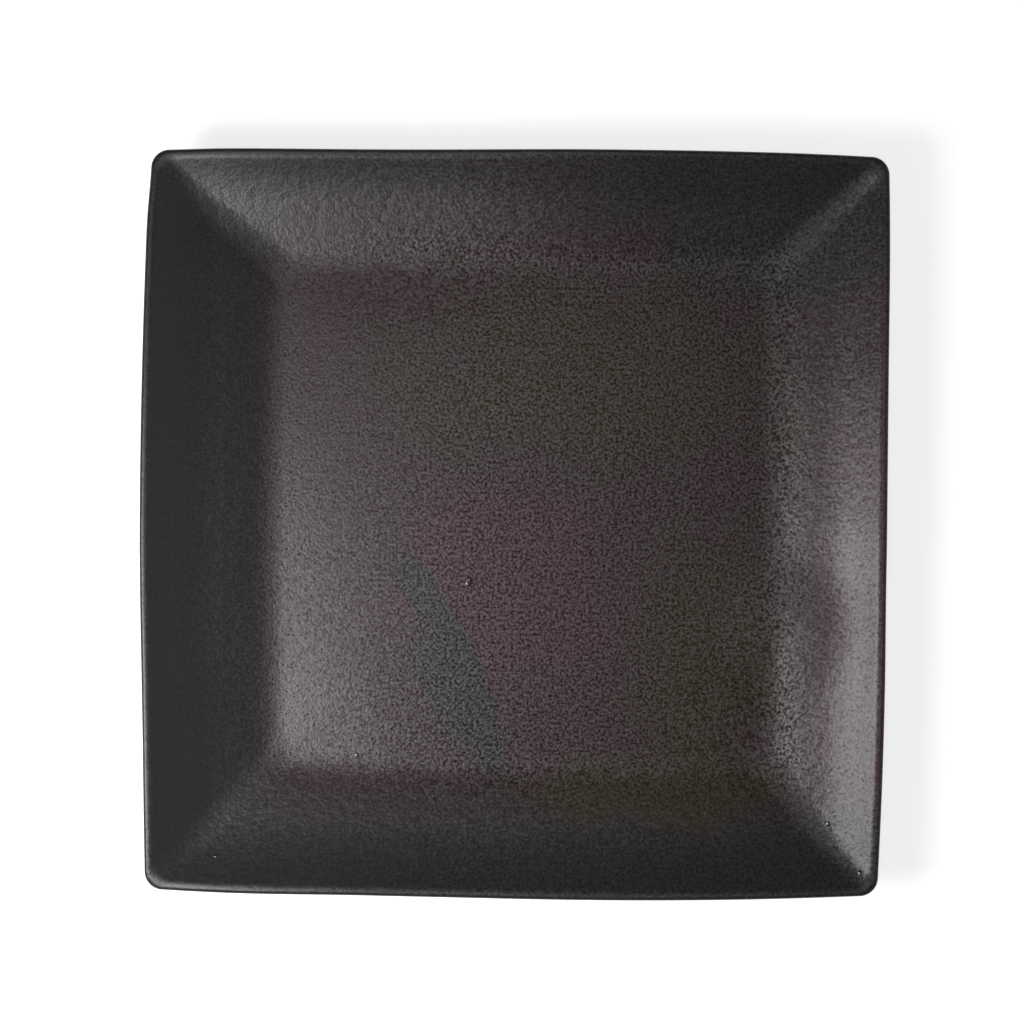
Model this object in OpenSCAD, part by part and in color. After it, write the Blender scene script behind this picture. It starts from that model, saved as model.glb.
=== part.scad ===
// Square dinner plate in glazed stoneware, pressed as one piece of clay: a flat square well, a sloping
// rim that turns up towards a rolled lip, softly mitred corners and a foot ring wiped bare of glaze.
// The origin is the centre of the foot, on the table, with +Z up. Lengths are in millimetres.

/* [Plate] */
// Width over the middle of two opposite sides
plate_w = 265; // [220:1:320]
// Height from the table to the top of the lip
plate_h = 25; // [20:0.5:36]
// Distance that each side bows out past a straight line between its corners
side_bow = 2.6; // [0.5:0.1:8]
// Radius of the corners of the outline, seen from above
corner_r = 6.5; // [3:0.5:20]
// Thickness of the wall, glaze included
wall_t = 5; // [4:0.1:6.5]
// Thickness of the glaze
glaze_t = 0.4; // [0.2:0.05:0.8]

/* [Rim and well] */
// Width of the rim, seen from above, from the outline to the flat floor of the well
rim_w = 46.5; // [42:0.5:60]
// Radius of the hollow in which the floor turns up into the rim
well_fillet_r = 34; // [16:0.5:42]
// Radius of the corners of the flat floor, seen from above
well_corner_r = 10; // [5:0.5:30]
// Radius of the wide hollow in which the rim turns up to the lip
edge_r = 70; // [45:1:90]
// Angle by which that hollow steepens the rim, in degrees
edge_turn = 17; // [8:0.5:20]

/* [Lip] */
// Radius over which the rim rolls over towards the lip
crest_r = 5; // [3:0.5:9]
// Slope that it has left where the outer edge of the lip begins, in degrees
crest_slope = 3; // [0:1:15]
// Height of that edge
lip_h = 4; // [3.2:0.1:5]
// Radius of its upper and lower corner
lip_r = 1.2; // [0.9:0.1:1.5]

/* [Foot] */
// Height of the foot ring under the floor
foot_h = 3.9; // [2.8:0.1:6]
// Width of the ring
foot_ring_w = 5.5; // [3.5:0.1:10]
// Distance from the edge of the flat floor to the outside of the ring
foot_inset = 4; // [1.6:0.1:15]
// Radius of the hollows where the ring meets the underside, inside and outside
foot_fillet_r = 1.5; // [0.5:0.1:2.2]
// Radius of the bare edges of the ring
foot_edge_r = 0.9; // [0.4:0.1:1.1]
// Height of the bare band that was wiped clean of glaze
wipe_h = 1.2; // [1:0.1:1.9]

/* [Hidden] */

// Facets along one side and round one corner of the plan
side_steps = 8;
corner_steps = 6;
// Facets along the curves of the section
hollow_steps = 4;
edge_steps = 4;
crest_steps = 4;
lip_steps = 3;
foot_steps = 3;

// Distance by which a form that cuts reaches past what it cuts
overrun = 1;

half_w = plate_w / 2;
floor_half_w = half_w - rim_w;
floor_z = foot_h + wall_t;
foot_half_w = floor_half_w - foot_inset;
recess_half_w = foot_half_w - foot_ring_w;

hollow_back_r = well_fillet_r + wall_t;
edge_back_r = edge_r + wall_t;

// Slope of the straight stretch of the rim on one face of the wall. It is tangent to the hollow at the floor
// and to the hollow below the lip, which is tangent to a curve of the lip round c. The radius of that curve is
// negative where the hollow goes round it.
function rim_slope(c, hollow, edge, curve) =
    let (reach = c - floor_c)
    asin((hollow - edge + (edge + curve) * cos(edge_turn)) / norm(reach)) + atan2(reach[1], reach[0]);

// The place at a distance from c, up a line that leans inwards by an angle
function up_from(c, distance, angle) = c + distance * [-sin(angle), cos(angle)];

// Centres of the curves of the section, as [half width, height], for the finished surface, and the slopes of the
// rim at both ends of the hollow below the lip, on the upper face and on the back
floor_c = [floor_half_w, floor_z + well_fillet_r];
shoulder_c = [half_w - lip_r, plate_h - lip_r];
crest_c = up_from(shoulder_c, lip_r - crest_r, crest_slope);
under_c = [half_w - lip_r, plate_h - lip_h + lip_r];
rim_angle = rim_slope(crest_c, well_fillet_r, edge_r, crest_r);
lip_angle = rim_angle + edge_turn;
edge_c = up_from(crest_c, edge_r + crest_r, lip_angle);
back_angle = rim_slope(under_c, hollow_back_r, edge_back_r, -lip_r);
back_lip_angle = back_angle + edge_turn;
edge_back_c = up_from(under_c, edge_back_r - lip_r, back_lip_angle);
foot_fillet_c = [foot_half_w + foot_fillet_r, foot_h - foot_fillet_r];
recess_fillet_c = [recess_half_w - foot_fillet_r, foot_h - foot_fillet_r];

function last(list) = list[len(list) - 1];

function all_but_first(list) = [for (i = [1:len(list) - 1]) list[i]];

// Corner radius of the plan outline with half width a: it grows evenly from the lip to the floor
function corner_at(a) = corner_r + (well_corner_r - corner_r) * (half_w - a) / rim_w;

// A stretch of section round centre c, as places [half width, height, corner radius]. The finished
// curve has radius r, and grow moves it parallel to itself, corners included.
function arc(c, r, grow, from, to, steps) = [
    for (i = [0:steps])
        let (t = from + (to - from) * i / steps)
        [
            c[0] + (r + grow) * cos(t),
            c[1] + (r + grow) * sin(t),
            corner_at(c[0] + r * cos(t)) + grow * cos(t)
        ]
];

// The section from the edge of the floor, over the lip and back to the outside of the foot ring, at a
// depth below the finished surface
function skin(depth) = concat(
    arc(floor_c, well_fillet_r, depth, -90, rim_angle - 90, hollow_steps),
    arc(edge_c, edge_r, depth, rim_angle - 90, lip_angle - 90, edge_steps),
    all_but_first(arc(crest_c, crest_r, -depth, lip_angle + 90, crest_slope + 90, crest_steps)),
    all_but_first(arc(shoulder_c, lip_r, -depth, crest_slope + 90, 0, lip_steps)),
    arc(under_c, lip_r, -depth, 0, back_lip_angle - 90, lip_steps),
    all_but_first(arc(edge_back_c, edge_back_r, -depth, back_lip_angle - 90, back_angle - 90, edge_steps)),
    arc(floor_c, hollow_back_r, -depth, back_angle - 90, -90, hollow_steps),
    arc(foot_fillet_c, foot_fillet_r, depth, 90, 180, foot_steps)
);

// The section of the space inside the foot ring, from the underside of the floor to the ring's wall
function recess(depth) = arc(recess_fillet_c, foot_fillet_r, depth, 90, 0, foot_steps);

// The rounded bare edge of the foot ring, from a place on its wall down to the table. The sign is 1
// for the outer wall and -1 for the inner one.
function bare_edge(wall, sign) = [
    for (i = [0:foot_steps])
        let (
            t = 90 * i / foot_steps,
            shift = sign * foot_edge_r * (1 - cos(t))
        )
        [wall[0] - shift, foot_edge_r * (1 - sin(t)), wall[2] - shift]
];

// A place of the section, moved straight up or down to height z
function at_height(place, z) = [place[0], z, place[2]];

// The plan outline at a place of the section: four sides bowed on one large radius, and round corners
// that are tangent to them
function outline(place) =
    let (
        a = place[0],
        r = place[2],
        bow = side_bow * a / half_w,
        side_r = ((a - bow) * (a - bow) + bow * bow) / (2 * bow),
        back = side_r - a,
        corner_c = (sqrt(2 * (side_r - r) * (side_r - r) - back * back) - back) / 2,
        turn = atan2(corner_c, corner_c + back),
        side = [
            for (i = [0:side_steps - 1])
                let (t = turn * (2 * i / side_steps - 1))
                [side_r * cos(t) - back, side_r * sin(t)]
        ],
        corner = [
            for (i = [0:corner_steps - 1])
                let (t = turn + (90 - 2 * turn) * i / corner_steps)
                [corner_c + r * cos(t), corner_c + r * sin(t)]
        ]
    )
    [
        for (q = [0:3], p = concat(side, corner))
            [p[0] * cos(90 * q) - p[1] * sin(90 * q), p[0] * sin(90 * q) + p[1] * cos(90 * q), place[1]]
    ];

// The solid whose plan outlines follow a section, from its upper flat face to its lower one
module loft(section) {
    ring_points = 4 * (side_steps + corner_steps);
    last_ring = (len(section) - 1) * ring_points;
    polyhedron(
        points = [for (place = section) each outline(place)],
        faces = concat(
            [[for (i = [ring_points - 1:-1:0]) i]],
            [
                for (k = [0:len(section) - 2], i = [0:ring_points - 1])
                    let (
                        here = k * ring_points,
                        below = here + ring_points,
                        next = (i + 1) % ring_points
                    )
                    each [[here + i, here + next, below + next], [here + i, below + next, below + i]]
            ],
            [[for (i = [0:ring_points - 1]) last_ring + i]]
        )
    );
}

// The pressed clay, with the space inside the foot ring still full
module clay() {
    outside = skin(glaze_t);
    loft(concat(outside, bare_edge(last(outside), 1)));
}

// The space inside the foot ring of the clay, reaching past the table
module clay_recess() {
    inside = recess(glaze_t);
    mouth = bare_edge(last(inside), -1);
    loft(concat(inside, mouth, [at_height(last(mouth), -overrun)]));
}

module stoneware_body() {
    color("#a39581")
    difference() {
        clay();
        clay_recess();
    }
}

module glaze_coat() {
    finished = skin(0);
    color("#343233")
    difference() {
        loft(concat(finished, [at_height(last(finished), wipe_h)]));
        clay();
    }
}

module base_glaze() {
    inside = recess(glaze_t);
    finished = recess(0);
    color("#343233")
    difference() {
        loft(concat(inside, [at_height(last(inside), wipe_h)]));
        loft(concat(finished, [at_height(last(finished), wipe_h - overrun)]));
    }
}

stoneware_body();
glaze_coat();
base_glaze();
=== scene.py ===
"""Studio scene of a square dinner plate in satin black glazed stoneware.

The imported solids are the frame. The clay body, the glaze that covers it and the glaze inside the foot ring
are lofted again here with finer curves and dressed, and the glaze gets the pimples and the slight warps of a
fired plate. Lengths are in metres, with +X to the right and +Y to the top of the picture.
"""

import logging
import math
from dataclasses import dataclass
from enum import Enum
from typing import Any, Callable, NamedTuple, Optional

import bmesh
import bpy
from mathutils import Euler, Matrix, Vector


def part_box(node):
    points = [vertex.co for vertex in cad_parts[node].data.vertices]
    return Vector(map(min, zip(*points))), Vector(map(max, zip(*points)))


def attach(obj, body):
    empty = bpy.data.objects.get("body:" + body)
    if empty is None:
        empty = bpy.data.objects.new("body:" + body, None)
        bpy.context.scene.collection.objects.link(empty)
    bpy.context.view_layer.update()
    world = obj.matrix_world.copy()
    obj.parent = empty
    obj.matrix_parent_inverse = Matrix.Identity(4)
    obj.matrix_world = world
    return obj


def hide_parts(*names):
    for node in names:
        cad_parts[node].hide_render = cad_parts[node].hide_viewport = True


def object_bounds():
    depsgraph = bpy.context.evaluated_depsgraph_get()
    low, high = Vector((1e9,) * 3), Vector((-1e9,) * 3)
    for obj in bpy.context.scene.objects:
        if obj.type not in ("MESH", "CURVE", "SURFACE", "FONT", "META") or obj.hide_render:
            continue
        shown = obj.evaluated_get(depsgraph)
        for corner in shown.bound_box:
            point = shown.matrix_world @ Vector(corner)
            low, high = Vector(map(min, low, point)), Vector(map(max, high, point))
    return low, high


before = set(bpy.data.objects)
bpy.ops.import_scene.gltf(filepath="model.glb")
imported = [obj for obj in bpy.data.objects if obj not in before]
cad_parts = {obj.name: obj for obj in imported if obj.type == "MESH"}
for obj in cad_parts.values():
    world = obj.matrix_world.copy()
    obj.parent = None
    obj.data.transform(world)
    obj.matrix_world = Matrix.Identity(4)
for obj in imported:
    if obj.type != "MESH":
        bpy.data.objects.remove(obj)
cad_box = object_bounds()

LOG = logging.getLogger("plate")
BODY = "root"
IMAGE_WIDTH = 1024

UP = math.radians(90)
DOWN = math.radians(-90)
OUTWARDS = 0.0
INWARDS = math.radians(180)
FULL_TURN = math.radians(360)
SIDES = 4

MM_PER_M = 1000
# Mean of a noise node
NOISE_MEAN = 0.5
# Radius of a ball one unit wide
UNIT_BALL_R = 0.5

# Two vertices nearer than this are one
MERGE_DISTANCE = 1e-6
# A vertex that lies this near a height or outline is on it
TOUCH = 1e-5
# Edges that turn by more than this are shown as edges
SMOOTH_ANGLE = math.radians(40)

# Sockets of a Mix node that mixes colours, which share their names with others
MIX_A = 6
MIX_B = 7
MIX_RESULT = 2


class Node(Enum):
    """Solids of the frame that pieces here stand for."""

    CLAY = "stoneware_body"
    COAT = "glaze_coat"
    BASE = "base_glaze"


class Slot(Enum):
    """Material slots of the record."""

    CLAY = "bare_stoneware"
    GLAZE = "black_glaze"


class Facing(Enum):
    """Side of a lofted sheet that is seen."""

    OUTSIDE = False
    INSIDE = True


class Place(NamedTuple):
    """A place of the section: half width of its plan outline, height and corner radius."""

    half_w: float
    z: float
    corner_r: float


class Quarter(NamedTuple):
    """A quarter of a plan outline: a turn along one side and a turn round one corner."""

    start: Vector
    side_centre: Vector
    side_turn: float
    corner_centre: Vector
    corner_turn: float


class Pimple(NamedTuple):
    """A pimple in the glaze: its place in plan, its two widths and how far it stands out."""

    x: float
    y: float
    width: float
    length: float
    height: float


class Patch(NamedTuple):
    """A patch of colour in plan: its middle, its half width and half height, and its turn in degrees."""

    x: float
    y: float
    half_w: float
    half_h: float
    turn: float = 0.0


class Swell(NamedTuple):
    """A place in plan where the soft plate gave way, how far it moved and how far around that shows."""

    x: float
    y: float
    move: tuple[float, float, float]
    reach: float


def between(first: Place, last: Place, steps: int) -> list[Place]:
    """Space places evenly along a straight stretch of section.

    Args:
        first: Place where the stretch begins.
        last: Place where it ends.
        steps: Number of equal steps.

    Returns:
        The places inside the stretch, without its ends.
    """
    return [Place(*(a + (b - a) * i / steps for a, b in zip(first, last))) for i in range(1, steps)]


def up_from(centre: Vector, distance: float, slope: float) -> Vector:
    """Go from a centre square to a slope, upwards."""
    return centre + distance * Vector((-math.sin(slope), math.cos(slope)))


@dataclass(frozen=True)
class PlateForm:
    """Sizes of the plate and the curves of its section, as in the solids of the frame."""

    plate_w: float
    plate_h: float
    side_bow: float = 0.0026
    corner_r: float = 0.0065
    wall_t: float = 0.005
    glaze_t: float = 0.0004
    rim_w: float = 0.0465
    well_fillet_r: float = 0.034
    well_corner_r: float = 0.010
    edge_r: float = 0.070
    edge_turn: float = math.radians(17)
    crest_r: float = 0.005
    crest_slope: float = math.radians(3)
    lip_h: float = 0.004
    lip_r: float = 0.0012
    foot_h: float = 0.0039
    foot_ring_w: float = 0.0055
    foot_inset: float = 0.004
    foot_fillet_r: float = 0.0015
    foot_edge_r: float = 0.0009
    wipe_h: float = 0.0012
    floor_steps: int = 18
    hollow_steps: int = 8
    rim_steps: int = 5
    edge_steps: int = 8
    crest_steps: int = 6
    lip_steps: int = 6
    foot_steps: int = 5

    @classmethod
    def from_frame(cls) -> "PlateForm":
        """Take the width and height from the frame's glaze coat."""
        low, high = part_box(Node.COAT.value)
        return cls(plate_w=high[0] - low[0], plate_h=high[2])

    @property
    def half_w(self) -> float:
        """Half of the width over the middle of the sides."""
        return self.plate_w / 2

    @property
    def floor_half_w(self) -> float:
        """Half width of the flat floor."""
        return self.half_w - self.rim_w

    @property
    def floor_z(self) -> float:
        """Height of the flat floor."""
        return self.foot_h + self.wall_t

    @property
    def hollow_back_r(self) -> float:
        """Radius under the rim of the hollow at the floor."""
        return self.well_fillet_r + self.wall_t

    @property
    def edge_back_r(self) -> float:
        """Radius under the rim of the hollow below the lip."""
        return self.edge_r + self.wall_t

    @property
    def foot_half_w(self) -> float:
        """Half width of the outside of the foot ring."""
        return self.floor_half_w - self.foot_inset

    @property
    def recess_half_w(self) -> float:
        """Half width of the inside of the foot ring."""
        return self.foot_half_w - self.foot_ring_w

    @property
    def floor_c(self) -> Vector:
        """Centre of the hollow in which the floor turns up into the rim."""
        return Vector((self.floor_half_w, self.floor_z + self.well_fillet_r))

    @property
    def shoulder_c(self) -> Vector:
        """Centre of the tight outer edge of the lip."""
        return Vector((self.half_w - self.lip_r, self.plate_h - self.lip_r))

    @property
    def crest_c(self) -> Vector:
        """Centre of the broad crest in which the rim rolls over towards the lip."""
        return up_from(self.shoulder_c, self.lip_r - self.crest_r, self.crest_slope)

    @property
    def under_c(self) -> Vector:
        """Centre of the tight edge under the lip."""
        return Vector((self.half_w - self.lip_r, self.plate_h - self.lip_h + self.lip_r))

    def rim_slope(self, centre: Vector, hollow_r: float, edge_r: float, curve_r: float) -> float:
        """Find the slope of the straight stretch of one face of the rim, tangent to the hollows at its ends.

        Args:
            centre: Centre of the curve of the lip that the outer hollow runs into.
            hollow_r: Radius of the hollow at the floor.
            edge_r: Radius of the hollow below the lip.
            curve_r: Radius of the curve of the lip, less than zero where it turns the same way as the hollow.

        Returns:
            The angle above the level.
        """
        reach = centre - self.floor_c
        rise = hollow_r - edge_r + (edge_r + curve_r) * math.cos(self.edge_turn)
        return math.asin(rise / reach.length) + math.atan2(reach.y, reach.x)

    def corner_at(self, half_w: float) -> float:
        """Corner radius of the outline with this half width, which grows evenly from lip to floor."""
        return self.corner_r + (self.well_corner_r - self.corner_r) * (self.half_w - half_w) / self.rim_w

    def arc(
        self, centre: Vector, radius: float, grow: float, start: float, end: float, steps: int
    ) -> list[Place]:
        """Follow a round stretch of the section.

        Args:
            centre: Half width and height of its centre.
            radius: Radius of the finished surface.
            grow: Distance by which the stretch lies outside that radius.
            start: Angle of its first place.
            end: Angle of its last place.
            steps: Number of equal steps.

        Returns:
            The places of the stretch, with both ends.
        """
        places = []
        for i in range(steps + 1):
            angle = start + (end - start) * i / steps
            out, up = math.cos(angle), math.sin(angle)
            places.append(
                Place(
                    centre.x + (radius + grow) * out,
                    centre.y + (radius + grow) * up,
                    self.corner_at(centre.x + radius * out) + grow * out,
                )
            )
        return places

    def flat(self, edge: Place) -> list[Place]:
        """Rings of a flat floor inside its edge, from the smallest outwards."""
        shares = [i / self.floor_steps for i in range(1, self.floor_steps)]
        return [Place(edge.half_w * share, edge.z, edge.corner_r * share) for share in shares]

    def skin(self, depth: float) -> list[Place]:
        """Section from the edge of the floor, over the lip and back to the outside of the foot ring.

        Args:
            depth: Distance below the finished surface.

        Returns:
            The places of the section, in order.
        """
        slope = self.rim_slope(self.crest_c, self.well_fillet_r, self.edge_r, self.crest_r)
        slope_end = slope + self.edge_turn
        back = self.rim_slope(self.under_c, self.hollow_back_r, self.edge_back_r, -self.lip_r)
        back_end = back + self.edge_turn
        edge_c = up_from(self.crest_c, self.edge_r + self.crest_r, slope_end)
        edge_back_c = up_from(self.under_c, self.edge_back_r - self.lip_r, back_end)
        foot_c = Vector((self.foot_half_w + self.foot_fillet_r, self.foot_h - self.foot_fillet_r))
        hollow = self.arc(self.floor_c, self.well_fillet_r, depth, DOWN, slope + DOWN, self.hollow_steps)
        edge = self.arc(edge_c, self.edge_r, depth, slope + DOWN, slope_end + DOWN, self.edge_steps)
        crest_end = self.crest_slope + UP
        crest = self.arc(self.crest_c, self.crest_r, -depth, slope_end + UP, crest_end, self.crest_steps)
        shoulder = self.arc(self.shoulder_c, self.lip_r, -depth, crest_end, OUTWARDS, self.lip_steps)
        under = self.arc(self.under_c, self.lip_r, -depth, OUTWARDS, back_end + DOWN, self.lip_steps)
        edge_back = self.arc(
            edge_back_c, self.edge_back_r, -depth, back_end + DOWN, back + DOWN, self.edge_steps
        )
        hollow_back = self.arc(self.floor_c, self.hollow_back_r, -depth, back + DOWN, DOWN, self.hollow_steps)
        foot = self.arc(foot_c, self.foot_fillet_r, depth, UP, INWARDS, self.foot_steps)
        return [
            *hollow,
            *between(hollow[-1], edge[0], self.rim_steps),
            *edge,
            *crest[1:],
            *shoulder[1:],
            *under,
            *edge_back[1:],
            *between(edge_back[-1], hollow_back[0], self.rim_steps),
            *hollow_back,
            *foot,
        ]

    def recess(self, depth: float) -> list[Place]:
        """Section inside the foot ring, from the underside of the floor to the ring's wall."""
        centre = Vector((self.recess_half_w - self.foot_fillet_r, self.foot_h - self.foot_fillet_r))
        return self.arc(centre, self.foot_fillet_r, depth, UP, OUTWARDS, self.foot_steps)

    def bare_edge(self, wall: Place, side: int) -> list[Place]:
        """Rounded bare edge of the foot ring, from a place on its wall down to the table.

        Args:
            wall: Place on the wall above the edge.
            side: 1 for the outer wall and -1 for the inner one.

        Returns:
            The places of the edge, from the top down.
        """
        places = []
        for i in range(self.foot_steps + 1):
            angle = UP * i / self.foot_steps
            shift = side * self.foot_edge_r * (1 - math.cos(angle))
            height = self.foot_edge_r * (1 - math.sin(angle))
            places.append(Place(wall.half_w - shift, height, wall.corner_r - shift))
        return places

    def wiped(self, wall: Place) -> Place:
        """Place on a wall of the foot ring where the wiped glaze ends."""
        return wall._replace(z=self.wipe_h)

    def quarter(self, place: Place) -> Quarter:
        """Work out the side and corner of the plan outline at a place of the section.

        Args:
            place: Half width, height and corner radius of the outline.

        Returns:
            The two turns, anticlockwise from the lower end of the right-hand side.
        """
        bow = self.side_bow * place.half_w / self.half_w
        side_r = ((place.half_w - bow) ** 2 + bow**2) / (2 * bow)
        back = side_r - place.half_w
        corner_c = (math.sqrt(2 * (side_r - place.corner_r) ** 2 - back**2) - back) / 2
        half_turn = math.atan2(corner_c, corner_c + back)
        return Quarter(
            start=Vector((side_r * math.cos(half_turn) - back, -side_r * math.sin(half_turn), place.z)),
            side_centre=Vector((-back, 0, place.z)),
            side_turn=2 * half_turn,
            corner_centre=Vector((corner_c, corner_c, place.z)),
            corner_turn=FULL_TURN / SIDES - 2 * half_turn,
        )


def start_piece(name: str) -> bpy.types.Object:
    """Add an empty mesh at the origin, alone selected, and open it for editing.

    Args:
        name: Name of the piece and its mesh.

    Returns:
        The new object, in edit mode.
    """
    bpy.ops.object.select_all(action="DESELECT")
    bpy.ops.object.add(type="MESH", location=(0, 0, 0))
    piece = bpy.context.object
    piece.name = name
    piece.data.name = name
    bpy.ops.object.mode_set(mode="EDIT")
    return piece


def select_places(pieces: list[bpy.types.Object], wanted: Callable[[Vector], bool]) -> None:
    """Select vertices of open meshes by their place, and the edges and faces between them.

    Args:
        pieces: Objects that are open for editing together.
        wanted: Says by its place whether a vertex is selected.
    """
    bpy.ops.mesh.select_all(action="DESELECT")
    for piece in pieces:
        mesh = bmesh.from_edit_mesh(piece.data)
        for vertex in mesh.verts:
            vertex.select_set(wanted(vertex.co))
        mesh.select_flush(True)
        bmesh.update_edit_mesh(piece.data)


@dataclass
class Loft:
    """Draws a quarter of a sheet through plan outlines and turns it round into the whole."""

    form: PlateForm
    side_steps: int = 44
    corner_steps: int = 10
    seed_size: float = 0.001

    def draw_quarter(self, place: Place) -> None:
        """Spin one vertex along a side and round a corner of a plan outline.

        Args:
            place: Place of the section that the outline belongs to.
        """
        quarter = self.form.quarter(place)
        bpy.ops.mesh.select_all(action="DESELECT")
        bpy.ops.mesh.primitive_plane_add(size=self.seed_size, location=quarter.start)
        bpy.ops.mesh.merge(type="CENTER")
        turns = [
            (quarter.side_centre, quarter.side_turn, self.side_steps),
            (quarter.corner_centre, quarter.corner_turn, self.corner_steps),
        ]
        for centre, turn, steps in turns:
            bpy.ops.mesh.spin(steps=steps, angle=turn, center=centre, axis=(0, 0, -1))

    def join_last_two(self, piece: bpy.types.Object) -> None:
        """Bridge the outline drawn last to the one before it.

        Args:
            piece: Object that is open for editing.
        """
        count = 2 * (self.side_steps + self.corner_steps + 1)
        bpy.ops.mesh.select_all(action="DESELECT")
        mesh = bmesh.from_edit_mesh(piece.data)
        mesh.verts.ensure_lookup_table()
        for vertex in mesh.verts[-count:]:
            vertex.select_set(True)
        mesh.select_flush(True)
        bmesh.update_edit_mesh(piece.data)
        bpy.ops.mesh.bridge_edge_loops()

    def close_floor(self, piece: bpy.types.Object, ring: Place) -> None:
        """Fill the smallest ring of a flat floor with a fan of faces.

        Args:
            piece: Object that is open for editing.
            ring: Place of the section that the ring belongs to.
        """

        def on_ring(co: Vector) -> bool:
            """Say whether a vertex lies on the ring or inside it."""
            return abs(co.z - ring.z) < TOUCH and max(abs(co.x), abs(co.y)) < ring.half_w + TOUCH

        select_places([piece], on_ring)
        bpy.ops.mesh.edge_face_add()
        bpy.ops.mesh.poke()

    def build(self, name: str, section: list[Place], floors: list[Place], facing: Facing) -> bpy.types.Object:
        """Loft a sheet or a closed solid.

        Args:
            name: Name of the piece.
            section: Places that the sheet runs through, in order.
            floors: Smallest rings that are filled.
            facing: Side that is seen, which the faces point to.

        Returns:
            The new object, in object mode.
        """
        piece = start_piece(name)
        for number, place in enumerate(section):
            self.draw_quarter(place)
            if number:
                self.join_last_two(piece)
        bpy.ops.mesh.select_all(action="SELECT")
        copies = SIDES - 1
        turn = FULL_TURN * copies / SIDES
        bpy.ops.mesh.spin(steps=copies, dupli=True, angle=turn, center=(0, 0, 0), axis=(0, 0, -1))
        bpy.ops.mesh.select_all(action="SELECT")
        bpy.ops.mesh.remove_doubles(threshold=MERGE_DISTANCE)
        for ring in floors:
            self.close_floor(piece, ring)
        bpy.ops.mesh.select_all(action="SELECT")
        bpy.ops.mesh.normals_make_consistent(inside=facing.value)
        bpy.ops.object.mode_set(mode="OBJECT")
        return piece


def apply_modifier(piece: bpy.types.Object, kind: str, **settings: Any) -> None:
    """Add a modifier to a piece, set it and apply it.

    Args:
        piece: The active object.
        kind: Type of the modifier.
        **settings: Properties of the modifier.
    """
    bpy.ops.object.modifier_add(type=kind)
    modifier = piece.modifiers[-1]
    for name, value in settings.items():
        setattr(modifier, name, value)
    bpy.ops.object.modifier_apply(modifier=modifier.name)


def linear(hex_colour: str, alpha: float = 1.0) -> tuple[float, float, float, float]:
    """Turn an sRGB colour into a linear one.

    Args:
        hex_colour: The colour as written, such as #1e1c1d.
        alpha: How far it covers.

    Returns:
        Linear red, green, blue and alpha.
    """
    channels = [int(hex_colour[i : i + 2], 16) / 255 for i in (1, 3, 5)]
    red, green, blue = (c / 12.92 if c <= 0.04045 else ((c + 0.055) / 1.055) ** 2.4 for c in channels)
    return red, green, blue, alpha


def add_node(
    tree: bpy.types.NodeTree, kind: str, inputs: Optional[dict] = None, **settings: Any
) -> bpy.types.Node:
    """Add a node with its settings and links.

    Args:
        tree: Node tree that gets the node.
        kind: Type of the node.
        inputs: For each input, by name or number, a value or the output that links to it.
        **settings: Properties of the node itself.

    Returns:
        The new node.
    """
    node = tree.nodes.new(kind)
    for name, value in settings.items():
        setattr(node, name, value)
    for socket, value in (inputs or {}).items():
        if isinstance(value, bpy.types.NodeSocket):
            tree.links.new(value, node.inputs[socket])
        else:
            node.inputs[socket].default_value = value
    return node


def arithmetic(tree: bpy.types.NodeTree, operation: str, first: Any, last: Any) -> bpy.types.NodeSocket:
    """Combine two values by a Math node and give its output."""
    return add_node(tree, "ShaderNodeMath", {0: first, 1: last}, operation=operation).outputs["Value"]


def remap(
    tree: bpy.types.NodeTree, value: bpy.types.NodeSocket, low: float, high: float, first: float, last: float
) -> bpy.types.NodeSocket:
    """Map a value smoothly from one range to another.

    Args:
        tree: Node tree that gets the node.
        value: Output that is mapped.
        low: Value that becomes the first one, as all below it do.
        high: Value that becomes the last one, as all above it do.
        first: Result at the low end.
        last: Result at the high end.

    Returns:
        The output with the result.
    """
    ends = {"Value": value, "From Min": low, "From Max": high, "To Min": first, "To Max": last}
    return add_node(tree, "ShaderNodeMapRange", ends, interpolation_type="SMOOTHSTEP").outputs["Result"]


def blend(
    tree: bpy.types.NodeTree, share: bpy.types.NodeSocket, first: Any, last: Any
) -> bpy.types.NodeSocket:
    """Mix two colours by a share of the last one and give the output."""
    inputs = {"Factor": share, MIX_A: first, MIX_B: last}
    return add_node(tree, "ShaderNodeMix", inputs, data_type="RGBA").outputs[MIX_RESULT]


def noise(
    tree: bpy.types.NodeTree, place: bpy.types.NodeSocket, size_mm: float, detail: float
) -> bpy.types.NodeSocket:
    """Add a noise with lumps of a size and give its output."""
    inputs = {"Vector": place, "Scale": MM_PER_M / size_mm, "Detail": detail}
    return add_node(tree, "ShaderNodeTexNoise", inputs).outputs["Fac"]


def dots(
    tree: bpy.types.NodeTree, place: bpy.types.NodeSocket, spacing_mm: float, core: float, rim: float
) -> bpy.types.NodeSocket:
    """Scatter soft round dots.

    Args:
        tree: Node tree that gets the nodes.
        place: Coordinates in metres.
        spacing_mm: Mean distance between dots.
        core: Radius of the full middle of a dot, as a share of the spacing.
        rim: Radius at which it ends, as such a share.

    Returns:
        The output that is 1 in the dots and 0 between them.
    """
    inputs = {"Vector": place, "Scale": MM_PER_M / spacing_mm}
    distance = add_node(tree, "ShaderNodeTexVoronoi", inputs).outputs["Distance"]
    return remap(tree, distance, core, rim, 1.0, 0.0)


def start_material(name: str) -> bpy.types.Material:
    """Make a material with an empty node tree.

    Args:
        name: Name of the material.

    Returns:
        The new material.
    """
    material = bpy.data.materials.new(name)
    material.use_nodes = True
    material.node_tree.nodes.clear()
    return material


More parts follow.
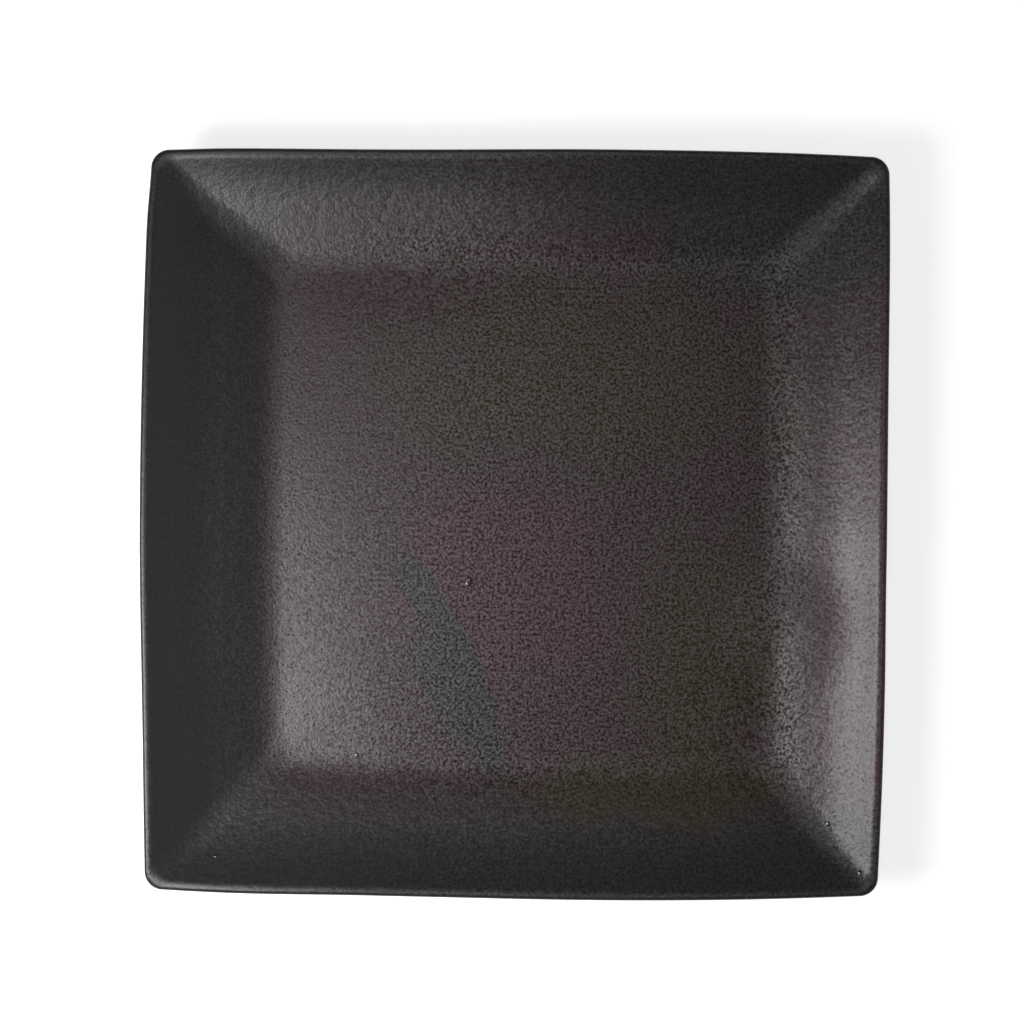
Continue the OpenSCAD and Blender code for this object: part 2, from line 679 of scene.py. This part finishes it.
@dataclass(frozen=True)
class SatinBlackGlaze:
    """Satin black stoneware glaze, dipped and fired.

    Iron and manganese give a black that breaks to mauve and olive brown where it pools in the well. The mauve
    is also a painted tint of the lamp light where it falls, strongest on the lit outer band of the right rim,
    and the glaze is painted black as shade on the shaded rims and patches. Fine crystals make it satin, with
    a leathery grain of dull pits that fades towards the lip, where it runs thin.
    """

    form: PlateForm
    name: str = "satin_black_stoneware_glaze"
    black: str = "#1f1e1e"
    # Mauve is partly a painted tint of the lamp light where it falls
    mauve: str = "#341b25"
    olive: str = "#2a2217"
    ior: float = 1.5
    roughness: float = 0.38
    roughness_spread: float = 0.05
    shine: float = 0.5
    pit_shine: float = 0.1
    grit: float = 2.4
    left_grit: float = 0.7
    rim_grit: float = 0.45
    pale_share: float = 0.55
    # Deeper mauve in the well's middle, and a painted tint of the lamp light on the lit outer band of the
    # right rim
    deep_and_lit_patches: tuple[Patch, ...] = (
        Patch(0.0023, -0.0238, 0.042, 0.035),
        Patch(0.1250, -0.0500, 0.018, 0.080),
    )
    # Painted shade: black over a dark streak across the lit well and over the dark upper right rim
    shaded_black_patches: tuple[Patch, ...] = (
        Patch(-0.0320, -0.0270, 0.022, 0.0055, -54.0),
        Patch(-0.0180, -0.0650, 0.032, 0.0100, -59.0),
        Patch(0.0950, 0.1150, 0.060, 0.0300),
    )
    olive_patches: tuple[Patch, ...] = (
        Patch(0.0186, 0.0528, 0.066, 0.033),
        Patch(0.0676, -0.0448, 0.026, 0.052),
        Patch(0.0493, -0.0954, 0.046, 0.012),
    )
    # Where a patch begins and ends to fade, as shares of its half widths
    patch_core_share: float = 0.65
    patch_end_share: float = 1.35
    patch_mm: float = 22.0
    patch_detail: float = 3.0
    raggedness: float = 2.0
    # Stretches of the plan over which mauve gives way to black as painted shade on the shaded rims and in the
    # shaded patches, and the shares of mauve that are left there
    left_shade_fade: tuple[float, float] = (-0.100, -0.075)
    bottom_shade_fade: tuple[float, float] = (-0.115, -0.085)
    top_shade_fade: tuple[float, float] = (0.095, 0.125)
    shaded_black_share: float = 0.1
    bottom_shade_share: float = 0.1
    top_shade_share: float = 0.25
    # Upward part of the facing over which the glaze under the plate gives way to that on top
    under_fade: tuple[float, float] = (-0.2, 0.2)
    grain_mm: float = 1.0
    grain_detail: float = 2.0
    # Values of the grain at which the glaze is smoothest and dullest
    grain_low: float = 0.3
    grain_high: float = 0.7
    # Most by which the grain moves the shine up or down
    shine_swing: float = 0.5
    pit_spacing_mm: float = 1.8
    pit_core_share: float = 0.1
    pit_end_share: float = 0.26
    ripple_mm: float = 3.2
    ripple_detail: float = 1.0
    relief_mm: float = 0.12
    pit_depth: float = 0.3
    ripple_height: float = 0.6
    rim_ripple_height: float = 1.5
    lip_relief: float = 0.5
    pool_depth: float = 0.005

    def patch(
        self,
        tree: bpy.types.NodeTree,
        place: bpy.types.NodeSocket,
        patch: Patch,
        ragged: bpy.types.NodeSocket,
    ) -> bpy.types.NodeSocket:
        """Mark a patch of colour.

        Args:
            tree: Node tree that gets the nodes.
            place: Coordinates in metres.
            patch: The patch.
            ragged: Output that moves the edge of the patch out and in.

        Returns:
            The output that is 1 inside the patch and 0 outside it.
        """
        inputs = {
            "Vector": place,
            "Location": (patch.x, patch.y, 0.0),
            "Rotation": (0.0, 0.0, math.radians(patch.turn)),
            "Scale": (patch.half_w, patch.half_h, 1.0),
        }
        inside = add_node(tree, "ShaderNodeMapping", inputs, vector_type="TEXTURE").outputs["Vector"]
        reach = add_node(tree, "ShaderNodeVectorMath", {0: inside}, operation="LENGTH").outputs["Value"]
        moved = arithmetic(tree, "ADD", reach, ragged)
        return remap(tree, moved, self.patch_core_share, self.patch_end_share, 1.0, 0.0)

    def colour(self, tree: bpy.types.NodeTree, place: bpy.types.NodeSocket) -> bpy.types.NodeSocket:
        """Colour the glaze: mauve, partly a painted tint of the lamp light, with deeper patches, black
        patches of painted shade and olive patches, and painted shade in black towards the left, bottom and
        top rims.

        Args:
            tree: Node tree that gets the nodes.
            place: Coordinates in metres.

        Returns:
            The output with the colour.
        """
        x, y, _ = add_node(tree, "ShaderNodeSeparateXYZ", {"Vector": place}).outputs
        lumps = arithmetic(tree, "SUBTRACT", noise(tree, place, self.patch_mm, self.patch_detail), NOISE_MEAN)
        ragged = arithmetic(tree, "MULTIPLY", lumps, self.raggedness)
        # Deeper mauve, partly a painted tint of the lamp light on the right rim
        deep_and_lit, *others = [self.patch(tree, place, patch, ragged) for patch in self.deep_and_lit_patches]
        for other in others:
            deep_and_lit = arithmetic(tree, "MAXIMUM", deep_and_lit, other)
        share = remap(tree, deep_and_lit, 0.0, 1.0, self.pale_share, 1.0)
        # Painted shade: black towards the left, bottom and top rims, where they lie in shade
        fades = [
            remap(tree, x, *self.left_shade_fade, 0.0, 1.0),
            remap(tree, y, *self.bottom_shade_fade, self.bottom_shade_share, 1.0),
            remap(tree, y, *self.top_shade_fade, 1.0, self.top_shade_share),
        ]
        # Painted shade in black patches
        for patch in self.shaded_black_patches:
            inside = self.patch(tree, place, patch, ragged)
            fades.append(remap(tree, inside, 0.0, 1.0, 1.0, self.shaded_black_share))
        for fade in fades:
            share = arithmetic(tree, "MULTIPLY", share, fade)
        # Mauve partly stands for a painted tint of the lamp light
        colour = blend(tree, share, linear(self.black), linear(self.mauve))
        for patch in self.olive_patches:
            colour = blend(tree, self.patch(tree, place, patch, ragged), colour, linear(self.olive))
        # Glaze that hangs under the plate runs thin and stays black
        facing = add_node(tree, "ShaderNodeTexCoord").outputs["Normal"]
        upwards = add_node(tree, "ShaderNodeSeparateXYZ", {"Vector": facing}).outputs["Z"]
        on_top = remap(tree, upwards, *self.under_fade, 0.0, 1.0)
        return blend(tree, on_top, linear(self.black), colour)

    def material(self) -> bpy.types.Material:
        """Build the node tree of the glaze.

        Returns:
            The new material.
        """
        material = start_material(self.name)
        tree = material.node_tree
        place = add_node(tree, "ShaderNodeTexCoord").outputs["Object"]
        x, _, height = add_node(tree, "ShaderNodeSeparateXYZ", {"Vector": place}).outputs
        pool_top = self.form.floor_z + self.pool_depth
        pooled = remap(tree, height, self.form.floor_z, pool_top, 1.0, 0.0)
        grain = noise(tree, place, self.grain_mm, self.grain_detail)
        pits = dots(tree, place, self.pit_spacing_mm, self.pit_core_share, self.pit_end_share)
        pits = arithmetic(tree, "MULTIPLY", pits, pooled)
        grit = arithmetic(
            tree,
            "MULTIPLY",
            remap(tree, x, -self.form.floor_half_w, 0.0, self.left_grit, self.grit),
            remap(tree, height, self.form.floor_z, pool_top, 1.0, self.rim_grit),
        )
        swing = arithmetic(tree, "MULTIPLY", arithmetic(tree, "SUBTRACT", grain, NOISE_MEAN), grit)
        most = self.shine_swing
        gleam = remap(tree, swing, -most, most, self.shine - most, self.shine + most)
        mixed = {"Factor": pits, "A": gleam, "B": self.pit_shine}
        gleam = add_node(tree, "ShaderNodeMix", mixed).outputs["Result"]
        ripples = arithmetic(
            tree,
            "MULTIPLY",
            noise(tree, place, self.ripple_mm, self.ripple_detail),
            remap(tree, height, self.form.floor_z, pool_top, self.ripple_height, self.rim_ripple_height),
        )
        relief = arithmetic(tree, "SUBTRACT", grain, arithmetic(tree, "MULTIPLY", pits, self.pit_depth))
        bump = add_node(
            tree,
            "ShaderNodeBump",
            {
                "Strength": remap(tree, height, self.form.floor_z, self.form.plate_h, 1.0, self.lip_relief),
                "Distance": self.relief_mm / MM_PER_M,
                "Height": arithmetic(tree, "ADD", relief, ripples),
            },
        ).outputs["Normal"]
        smoothest = self.roughness - self.roughness_spread
        dullest = self.roughness + self.roughness_spread
        shader = add_node(
            tree,
            "ShaderNodeBsdfPrincipled",
            {
                "Base Color": self.colour(tree, place),
                "Roughness": remap(tree, grain, self.grain_low, self.grain_high, smoothest, dullest),
                "IOR": self.ior,
                "Specular IOR Level": gleam,
                "Normal": bump,
            },
        ).outputs["BSDF"]
        add_node(tree, "ShaderNodeOutputMaterial", {"Surface": shader})
        return material


@dataclass(frozen=True)
class BareStoneware:
    """Buff stoneware clay, pressed, sponged and fired bare.

    It is dull and sandy to the eye, with dark iron specks in a warm grey.
    """

    name: str = "bare_buff_stoneware"
    clay: str = "#a39581"
    pale: str = "#b3a692"
    iron: str = "#5f5142"
    roughness: float = 0.86
    ior: float = 1.5
    sand_mm: float = 0.35
    sand_detail: float = 2.0
    speck_spacing_mm: float = 2.0
    speck_core_share: float = 0.1
    speck_end_share: float = 0.22
    cloud_mm: float = 12.0
    cloud_detail: float = 4.0
    relief_mm: float = 0.05

    def material(self) -> bpy.types.Material:
        """Build the node tree of the clay.

        Returns:
            The new material.
        """
        material = start_material(self.name)
        tree = material.node_tree
        place = add_node(tree, "ShaderNodeTexCoord").outputs["Object"]
        clouds = noise(tree, place, self.cloud_mm, self.cloud_detail)
        body = blend(tree, clouds, linear(self.clay), linear(self.pale))
        specks = dots(tree, place, self.speck_spacing_mm, self.speck_core_share, self.speck_end_share)
        colour = blend(tree, specks, body, linear(self.iron))
        sand = noise(tree, place, self.sand_mm, self.sand_detail)
        relief = {"Distance": self.relief_mm / MM_PER_M, "Height": sand}
        bump = add_node(tree, "ShaderNodeBump", relief).outputs["Normal"]
        shader = add_node(
            tree,
            "ShaderNodeBsdfPrincipled",
            {"Base Color": colour, "Roughness": self.roughness, "IOR": self.ior, "Normal": bump},
        ).outputs["BSDF"]
        add_node(tree, "ShaderNodeOutputMaterial", {"Surface": shader})
        return material


@dataclass(frozen=True)
class PaleFloor:
    """Plain white paper under and around the plate, which keeps the plate's shadow."""

    name: str = "plain_white_paper"
    paper: str = "#dadada"
    glow: float = 0.72

    def material(self) -> bpy.types.Material:
        """Build the paper, which gives light of its own where it is seen or mirrored.

        Returns:
            The new material.
        """
        material = start_material(self.name)
        tree = material.node_tree
        paper = add_node(tree, "ShaderNodeBsdfDiffuse", {"Color": linear(self.paper)}).outputs["BSDF"]
        path = add_node(tree, "ShaderNodeLightPath").outputs
        seen = path["Is Camera Ray"]
        for ray in ("Is Glossy Ray", "Is Transmission Ray"):
            seen = arithmetic(tree, "MAXIMUM", seen, path[ray])
        glow = arithmetic(tree, "MULTIPLY", seen, self.glow)
        light = add_node(tree, "ShaderNodeEmission", {"Strength": glow}).outputs["Emission"]
        both = add_node(tree, "ShaderNodeAddShader", {0: paper, 1: light}).outputs["Shader"]
        add_node(tree, "ShaderNodeOutputMaterial", {"Surface": both})
        return material


def dress(
    piece: bpy.types.Object, material: bpy.types.Material, slot: Slot, stands_for: Optional[Node]
) -> None:
    """Smooth and dress a finished piece and enter it in the frame.

    Args:
        piece: The finished object.
        material: Finish of all its faces.
        slot: Slot of the record that the finish belongs to.
        stands_for: Solid of the frame that the piece takes the place of, if any.
    """
    bpy.ops.object.select_all(action="DESELECT")
    piece.select_set(True)
    bpy.context.view_layer.objects.active = piece
    bpy.ops.object.shade_smooth_by_angle(angle=SMOOTH_ANGLE)
    piece.data.materials.clear()
    piece.data.materials.append(material)
    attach(piece, BODY)
    if stands_for:
        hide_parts(stands_for.value)
    LOG.info("%s: %d faces, slot %s", piece.name, len(piece.data.polygons), slot.value)


@dataclass(frozen=True)
class Firing:
    """Slight warps of pressing, drying and firing, which move the clay and the glaze alike."""

    form: PlateForm
    well_move: tuple[float, float, float] = (0.003, 0.003, 0.0)
    swell_core: float = 0.006
    swells: tuple[Swell, ...] = (
        # The top side bows less than it should, and its right end is drawn out and droops
        Swell(-0.035, 0.1325, (0.0, -0.0010, 0.0), 0.105),
        Swell(0.118, 0.128, (0.0006, 0.0009, -0.0022), 0.075),
        # The right side bows less, the bottom more, and the left side is drawn in at its lower end
        Swell(0.1325, 0.020, (-0.0011, 0.0, 0.0), 0.115),
        Swell(0.070, -0.1325, (0.0, -0.0010, 0.0), 0.130),
        Swell(-0.1325, -0.095, (0.0010, 0.0, 0.0), 0.090),
        Swell(-0.110, -0.1325, (0.0, -0.0006, 0.0), 0.050),
        # The lower left corner turns up, and the upper left one is drawn in
        Swell(-0.118, -0.118, (0.0, 0.0, 0.0014), 0.070),
        Swell(-0.130, 0.130, (0.0007, -0.0003, 0.0), 0.022),
        # The rim sinks between the lower left corner and the well, and waves along the bottom, left and top
        Swell(-0.090, -0.090, (0.0, 0.0, -0.0011), 0.045),
        Swell(-0.105, -0.075, (0.0, 0.0, -0.0008), 0.028),
        Swell(-0.070, -0.135, (0.0, 0.0, 0.0012), 0.055),
        Swell(-0.120, -0.030, (0.0, 0.0, -0.0008), 0.070),
        Swell(-0.045, 0.135, (0.0, 0.0, -0.0016), 0.070),
        # The upper right mitre stands up, and the lower right rim sinks
        Swell(0.105, 0.105, (0.0, 0.0, 0.0010), 0.045),
        Swell(0.120, -0.075, (0.0, 0.0, -0.0006), 0.070),
        # A dent in the right rim, and the pinch beside it
        Swell(0.118, -0.026, (0.0, 0.0, -0.0009), 0.028),
        Swell(0.1005, -0.037, (0.0, 0.0, 0.0012), 0.024),
    )

    def in_well(self, co: Vector) -> bool:
        """Say whether a vertex belongs to the flat floor or the foot ring below it."""
        return max(abs(co.x), abs(co.y)) < self.form.floor_half_w + TOUCH

    def on_table(self, co: Vector) -> bool:
        """Say whether a vertex belongs to the bare foot, which keeps standing on the table."""
        return co.z < self.form.wipe_h + TOUCH

    def pull(
        self,
        pieces: list[bpy.types.Object],
        wanted: Callable[[Vector], bool],
        move: tuple[float, float, float],
        reach: float,
    ) -> None:
        """Move vertices of open meshes and, less and less, those around them.

        Args:
            pieces: Objects that are open for editing together.
            wanted: Says by its place whether a vertex makes the whole move.
            move: The whole move.
            reach: Distance from these vertices at which the move has faded out.
        """
        select_places(pieces, wanted)
        bpy.ops.transform.translate(
            value=move,
            use_proportional_edit=True,
            proportional_edit_falloff="SMOOTH",
            proportional_size=reach,
        )

    def settle(self, pieces: list[bpy.types.Object]) -> None:
        """Warp all pieces together.

        Args:
            pieces: The clay and the glaze that covers it.
        """
        bpy.ops.object.select_all(action="DESELECT")
        for piece in pieces:
            piece.select_set(True)
        bpy.context.view_layer.objects.active = pieces[0]
        bpy.ops.object.mode_set(mode="EDIT")
        self.pull(pieces, self.in_well, self.well_move, self.form.rim_w)
        select_places(pieces, self.on_table)
        bpy.ops.mesh.hide()
        for swell in self.swells:
            middle = Vector((swell.x, swell.y))
            self.pull(pieces, lambda co: (co.xy - middle).length < self.swell_core, swell.move, swell.reach)
        bpy.ops.mesh.reveal(select=False)
        bpy.ops.object.mode_set(mode="OBJECT")
        LOG.info("warped %d pieces in %d places", len(pieces), len(self.swells) + 1)


@dataclass
class Plate:
    """The plate: clay body, glaze coat, glaze inside the foot ring and pimples of the glaze."""

    form: PlateForm
    loft: Loft
    pimple_segments: int = 20
    pimple_rings: int = 16
    pimple_sink: float = 0.6
    pimple_roughness: float = 0.16
    pimple_roughness_spread: float = 0.02
    pimples: tuple[Pimple, ...] = (
        Pimple(-0.0163, -0.0214, 0.0028, 0.0036, 0.00026),
        Pimple(-0.1049, -0.1193, 0.0019, 0.0016, 0.00025),
        Pimple(0.1134, -0.1065, 0.0018, 0.0018, 0.00014),
        Pimple(0.1238, -0.1225, 0.0018, 0.0018, 0.00016),
        Pimple(-0.0560, -0.0846, 0.0015, 0.0015, 0.00014),
        Pimple(0.0900, -0.0256, 0.0015, 0.0015, 0.00014),
    )

    def build_clay(self) -> bpy.types.Object:
        """Loft the clay body as one closed solid.

        Returns:
            The new object.
        """
        form = self.form
        outside = form.skin(form.glaze_t)
        inside = form.recess(form.glaze_t)
        floor = form.flat(outside[0])
        ceiling = form.flat(inside[0])
        section = [
            *floor,
            *outside,
            *form.bare_edge(outside[-1], 1),
            *reversed(form.bare_edge(inside[-1], -1)),
            *reversed(inside),
            *reversed(ceiling),
        ]
        return self.loft.build("clay_body", section, [floor[0], ceiling[0]], Facing.OUTSIDE)

    def build_coat(self) -> bpy.types.Object:
        """Loft the glaze over the well, the rim, the lip and the underside, down to the wiped foot.

        Returns:
            The new object.
        """
        form = self.form
        finished = form.skin(0)
        floor = form.flat(finished[0])
        section = [*floor, *finished, form.wiped(finished[-1])]
        piece = self.loft.build("glaze_coat_satin", section, [floor[0]], Facing.OUTSIDE)
        apply_modifier(piece, "SOLIDIFY", thickness=form.glaze_t, offset=-1)
        return piece

    def build_base(self) -> bpy.types.Object:
        """Loft the glaze inside the foot ring.

        Returns:
            The new object.
        """
        form = self.form
        finished = form.recess(0)
        ceiling = form.flat(finished[0])
        section = [*ceiling, *finished, form.wiped(finished[-1])]
        piece = self.loft.build("base_glaze_satin", section, [ceiling[0]], Facing.INSIDE)
        apply_modifier(piece, "SOLIDIFY", thickness=form.glaze_t, offset=-1)
        return piece

    def build_pimples(self, coat: bpy.types.Object) -> bpy.types.Object:
        """Raise the pimples that gas left in the glaze, as caps of balls that are mostly sunk in it.

        Args:
            coat: The glaze whose upper face carries them.

        Returns:
            The new object.
        """
        places = []
        for pimple in self.pimples:
            _, place, normal, _ = coat.ray_cast((pimple.x, pimple.y, self.form.plate_w), (0, 0, -1))
            places.append((place, normal))
        piece = start_piece("glaze_pimples")
        # A ball that is sunk by a share of its half height shows a narrower circle
        cap_share = math.sqrt(1 - self.pimple_sink**2)
        for pimple, (place, normal) in zip(self.pimples, places):
            half_height = pimple.height / (1 - self.pimple_sink)
            bpy.ops.mesh.primitive_uv_sphere_add(
                segments=self.pimple_segments,
                ring_count=self.pimple_rings,
                radius=UNIT_BALL_R,
                location=place - self.pimple_sink * half_height * normal,
                rotation=normal.to_track_quat("Z", "Y").to_euler(),
                scale=(pimple.width / cap_share, pimple.length / cap_share, 2 * half_height),
            )
        bpy.ops.object.mode_set(mode="OBJECT")
        return piece

    def build(self, firing: Firing) -> None:
        """Build all pieces, warp them and dress them.

        Args:
            firing: The warps of the plate.
        """
        clay = self.build_clay()
        coat = self.build_coat()
        base = self.build_base()
        firing.settle([clay, coat, base])
        pimples = self.build_pimples(coat)
        glaze = SatinBlackGlaze(self.form).material()
        smooth_glaze = SatinBlackGlaze(
            self.form,
            name="smooth_black_stoneware_glaze",
            roughness=self.pimple_roughness,
            roughness_spread=self.pimple_roughness_spread,
            relief_mm=0.0,
        ).material()
        dress(clay, BareStoneware().material(), Slot.CLAY, Node.CLAY)
        dress(coat, glaze, Slot.GLAZE, Node.COAT)
        dress(base, glaze, Slot.GLAZE, Node.BASE)
        dress(pimples, smooth_glaze, Slot.GLAZE, None)


@dataclass(frozen=True)
class SoftBox:
    """A soft studio lamp that is aimed at the plate."""

    name: str
    place: tuple[float, float, float]
    width: float
    height: float
    power: float

    def build(self) -> None:
        """Add the lamp, turned to the middle of the plate."""
        bpy.ops.object.light_add(type="AREA", location=self.place)
        lamp = bpy.context.object
        lamp.name = self.name
        lamp.rotation_euler = (-Vector(self.place)).to_track_quat("-Z", "Y").to_euler()
        lamp.data.shape = "RECTANGLE"
        lamp.data.size = self.width
        lamp.data.size_y = self.height
        lamp.data.energy = self.power
        lamp.visible_camera = False


@dataclass(frozen=True)
class Studio:
    """White floor and backdrop, soft lamps, low room light and a camera that looks straight down."""

    floor_w: float = 14.0
    backdrop_r: float = 6.0
    backdrop_h: float = 1.6
    backdrop_sides: int = 96
    room: str = "#ffffff"
    room_strength: float = 0.09
    camera_place: tuple[float, float, float] = (-0.0084, 0.0157, 0.7)
    camera_lean: tuple[float, float, float] = (math.radians(1.0), math.radians(0.59), math.radians(-0.7))
    focal_px: float = 1917.0
    sensor_mm: float = 36.0
    lamps: tuple[SoftBox, ...] = (
        SoftBox("side_lamp", (-0.241, -0.106, 0.329), 0.195, 0.195, 1.71),
        SoftBox("top_lamp", (-0.166, -0.025, 2.0), 0.74, 0.74, 3.6),
        SoftBox("fill_lamp", (1.2, 0.0, 1.0), 1.0, 1.0, 1.4),
    )

    def build_floor(self) -> None:
        """Lay the floor that the foot ring stands on, and put up a low round backdrop far off."""
        paper = PaleFloor().material()
        bpy.ops.mesh.primitive_plane_add(size=self.floor_w, location=(0, 0, cad_box[0].z))
        floor = bpy.context.object
        floor.name = "studio_floor"
        bpy.ops.mesh.primitive_cylinder_add(
            vertices=self.backdrop_sides,
            radius=self.backdrop_r,
            depth=self.backdrop_h,
            end_fill_type="NOTHING",
            location=(0, 0, cad_box[0].z + self.backdrop_h / 2),
        )
        backdrop = bpy.context.object
        backdrop.name = "studio_backdrop"
        bpy.ops.object.transform_apply(location=True, rotation=False, scale=False)
        for sheet in (floor, backdrop):
            sheet.data.materials.append(paper)

    def build_light(self) -> None:
        """Set up the lamps and the light of the room."""
        for lamp in self.lamps:
            lamp.build()
        world = bpy.data.worlds.new("studio_room")
        world.use_nodes = True
        tree = world.node_tree
        tree.nodes.clear()
        room = add_node(
            tree, "ShaderNodeBackground", {"Color": linear(self.room), "Strength": self.room_strength}
        ).outputs["Background"]
        add_node(tree, "ShaderNodeOutputWorld", {"Surface": room})
        bpy.context.scene.world = world

    def build_camera(self) -> None:
        """Hang the camera over the plate, leaning a little as the hand held it."""
        lean_x, lean_y, roll = self.camera_lean
        bpy.ops.object.camera_add(location=self.camera_place)
        camera = bpy.context.object
        camera.name = "camera_above"
        camera.rotation_euler = Euler((-lean_x, -lean_y, -roll), "YXZ").to_matrix().to_euler()
        camera.data.sensor_width = self.sensor_mm
        camera.data.lens = self.focal_px * self.sensor_mm / IMAGE_WIDTH
        bpy.context.scene.camera = camera

    def build(self) -> None:
        """Set up the whole studio."""
        self.build_floor()
        self.build_light()
        self.build_camera()
        bpy.context.scene.view_settings.view_transform = "Standard"


def main() -> None:
    """Build the plate and its studio in order."""
    logging.basicConfig(level=logging.INFO, format="%(name)s: %(message)s")
    form = PlateForm.from_frame()
    Plate(form, Loft(form)).build(Firing(form))
    Studio().build()


if __name__ == "__main__":
    main()
